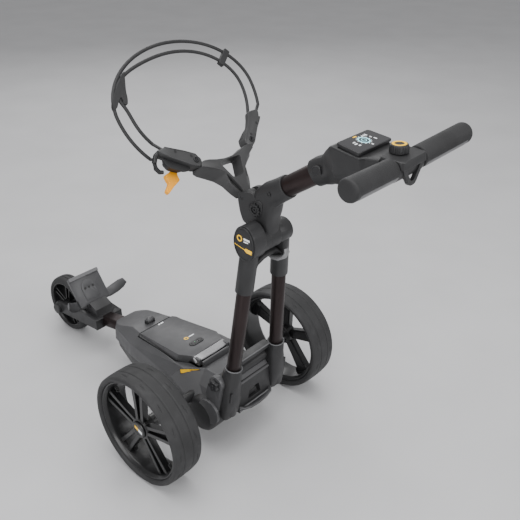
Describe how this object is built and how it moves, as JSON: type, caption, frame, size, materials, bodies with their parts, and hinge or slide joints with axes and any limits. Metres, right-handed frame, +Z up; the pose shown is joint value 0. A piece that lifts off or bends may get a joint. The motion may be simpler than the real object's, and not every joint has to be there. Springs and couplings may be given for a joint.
{
  "type": "electric golf trolley",
  "caption": "Three-wheeled powered golf trolley: battery deck, folding twin-leg frame, T-bar handle with display, bag bracket with strap and lower bag rest.",
  "frame": {"origin": "middle of the bounding box on the ground", "axes": "+X is forward, towards the small front wheel; +Y is to the trolley's left; +Z is up"},
  "size_m": [1.2956, 0.5886, 0.989],
  "materials": {
    "housing": "satin moulded, mid grey",
    "casting": "dark powder coat",
    "anodised": "dark bronze anodised, satin",
    "steel": "plain turned steel",
    "rim_gloss": "gloss black",
    "tyre": "matte, fine moulded texture",
    "pale_plastic": "satin light grey",
    "black_plastic": "matte black",
    "grip_rubber": "soft fine-textured rubber",
    "display": "dark gloss window",
    "accent": "amber, satin",
    "strap_elastic": "matte elastic cord",
    "cell": "sleeved cells",
    "board": "circuit board"
  },
  "bodies": {
    "chassis": {"chassis_shell": "housing", "chassis_tray": "casting", "axle_housings": "casting", "axle_bearings": "steel", "motor": "steel", "gearbox": "steel", "controller": "board", "lower_pin_caps": "black_plastic", "leg_pivot_shaft": "steel", "catch_mount": "black_plastic", "spine_hinge": "casting"},
    "battery": {"battery_case": "black_plastic", "battery_lid": "housing", "battery_cells": "cell", "battery_handle": "pale_plastic", "button_panel": "black_plastic"},
    "power_button": {"power_button": "black_plastic"},
    "gauge_button": {"gauge_button": "black_plastic"},
    "battery_catch": {"battery_catch": "black_plastic"},
    "rear_wheel_left": {"rear_tyre_left": "tyre", "rear_rim_left": "rim_gloss", "hub_cap_left": "rim_gloss", "half_shaft_left": "steel"},
    "rear_wheel_right": {"rear_tyre_right": "tyre", "rear_rim_right": "rim_gloss", "hub_cap_right": "rim_gloss", "half_shaft_right": "steel"},
    "front_frame": {"front_spine": "anodised", "front_fork": "casting", "front_axle": "casting", "bag_rest": "housing", "bag_rest_ears": "housing"},
    "front_wheel": {"front_tyre": "tyre", "front_rim": "rim_gloss"},
    "legs": {"leg_saddle": "casting", "leg_tubes": "anodised", "leg_heads": "casting", "leg_bridge": "casting", "fold_caps": "black_plastic", "hinge_pin": "steel"},
    "frame_latch": {"frame_latch": "black_plastic"},
    "hinge_lever": {"hinge_lever": "pale_plastic"},
    "stem": {"hinge_block": "casting", "stem_tube": "anodised", "stem_boss": "black_plastic"},
    "handle": {"handle_neck": "casting", "display_glass": "display", "handle_bar": "anodised", "grips": "grip_rubber", "bar_hub": "black_plastic"},
    "height_latch": {"height_latch": "black_plastic"},
    "knob_core": {"knob_core": "steel"},
    "speed_knob": {"speed_knob": "black_plastic"},
    "bag_bracket": {"bracket_yoke": "casting", "bracket_arms": "casting", "arm_pads": "grip_rubber", "bracket_bolts": "steel", "strap_tensioner": "black_plastic", "bag_strap": "strap_elastic"},
    "strap_latch": {"strap_latch": "accent"}
  },
  "joints": [
    {"name": "battery_lift", "type": "slide", "parent": "chassis", "child": "battery", "axis": [-0.0204, 0, -0.9998], "range_m": [-0.1, 0]},
    {"name": "power_press", "type": "slide", "parent": "battery", "child": "power_button", "axis": [-0.1005, 0, -0.9949], "range_m": [0, 0.001], "stiffness_N_per_m": 900, "springref_m": -0.001},
    {"name": "gauge_press", "type": "slide", "parent": "battery", "child": "gauge_button", "axis": [-0.1005, 0, -0.9949], "range_m": [0, 0.001], "stiffness_N_per_m": 900, "springref_m": -0.001},
    {"name": "catch_rock", "type": "hinge", "parent": "chassis", "child": "battery_catch", "pos_m": [0.15619, 0, 0.19719], "axis": [0, 1, 0], "range_deg": [0, 25], "stiffness_Nm_per_rad": 0.05, "springref_deg": -17.19},
    {"name": "wheel_left_spin", "type": "hinge", "parent": "chassis", "child": "rear_wheel_left", "pos_m": [-0.12887, 0.252, 0.148], "axis": [0, 1, 0], "continuous": true},
    {"name": "wheel_right_spin", "type": "hinge", "parent": "chassis", "child": "rear_wheel_right", "pos_m": [-0.12887, -0.252, 0.148], "axis": [0, 1, 0], "continuous": true},
    {"name": "front_fold", "type": "hinge", "parent": "chassis", "child": "front_frame", "pos_m": [0.27015, 0, 0.09585], "axis": [0, 1, 0], "range_deg": [0, 150]},
    {"name": "front_wheel_spin", "type": "hinge", "parent": "front_frame", "child": "front_wheel", "pos_m": [0.55613, 0, 0.09201], "axis": [0, 1, 0], "continuous": true},
    {"name": "legs_fold", "type": "hinge", "parent": "chassis", "child": "legs", "pos_m": [-0.22414, 0, 0.23396], "axis": [0, 1, 0], "range_deg": [0, 74]},
    {"name": "latch_lift", "type": "slide", "parent": "legs", "child": "frame_latch", "axis": [0.0204, 0, 0.9998], "range_m": [0, 0.005], "stiffness_N_per_m": 400, "springref_m": -0.004},
    {"name": "lever_swing", "type": "hinge", "parent": "legs", "child": "hinge_lever", "pos_m": [-0.31603, -0.031, 0.58291], "axis": [0, 1, 0], "range_deg": [0, 30], "stiffness_Nm_per_rad": 0.06, "springref_deg": -17.19},
    {"name": "stem_fold", "type": "hinge", "parent": "legs", "child": "stem", "pos_m": [-0.29141, 0, 0.61341], "axis": [0, -1, 0], "range_deg": [0, 80]},
    {"name": "height_slide", "type": "slide", "parent": "stem", "child": "handle", "axis": [-0.8274, 0, 0.5616], "range_m": [-0.04, 0.03]},
    {"name": "height_latch_press", "type": "slide", "parent": "handle", "child": "height_latch", "axis": [0, -1, 0], "range_m": [0, 0.003], "stiffness_N_per_m": 500, "springref_m": -0.002},
    {"name": "knob_press", "type": "slide", "parent": "handle", "child": "knob_core", "axis": [-0.0204, 0, -0.9998], "range_m": [0, 0.0006], "stiffness_N_per_m": 1500, "springref_m": -0.001},
    {"name": "knob_turn", "type": "hinge", "parent": "knob_core", "child": "speed_knob", "pos_m": [-0.60183, 0, 0.88981], "axis": [0.0204, 0, 0.9998], "continuous": true},
    {"name": "bracket_fold", "type": "hinge", "parent": "stem", "child": "bag_bracket", "pos_m": [-0.24264, 0, 0.69944], "axis": [0, -1, 0], "range_deg": [0, 60]},
    {"name": "toggle_swing", "type": "hinge", "parent": "bag_bracket", "child": "strap_latch", "pos_m": [-0.13338, 0.118, 0.76686], "axis": [-0.7641, 0, 0.645], "range_deg": [0, 75]}
  ]
}
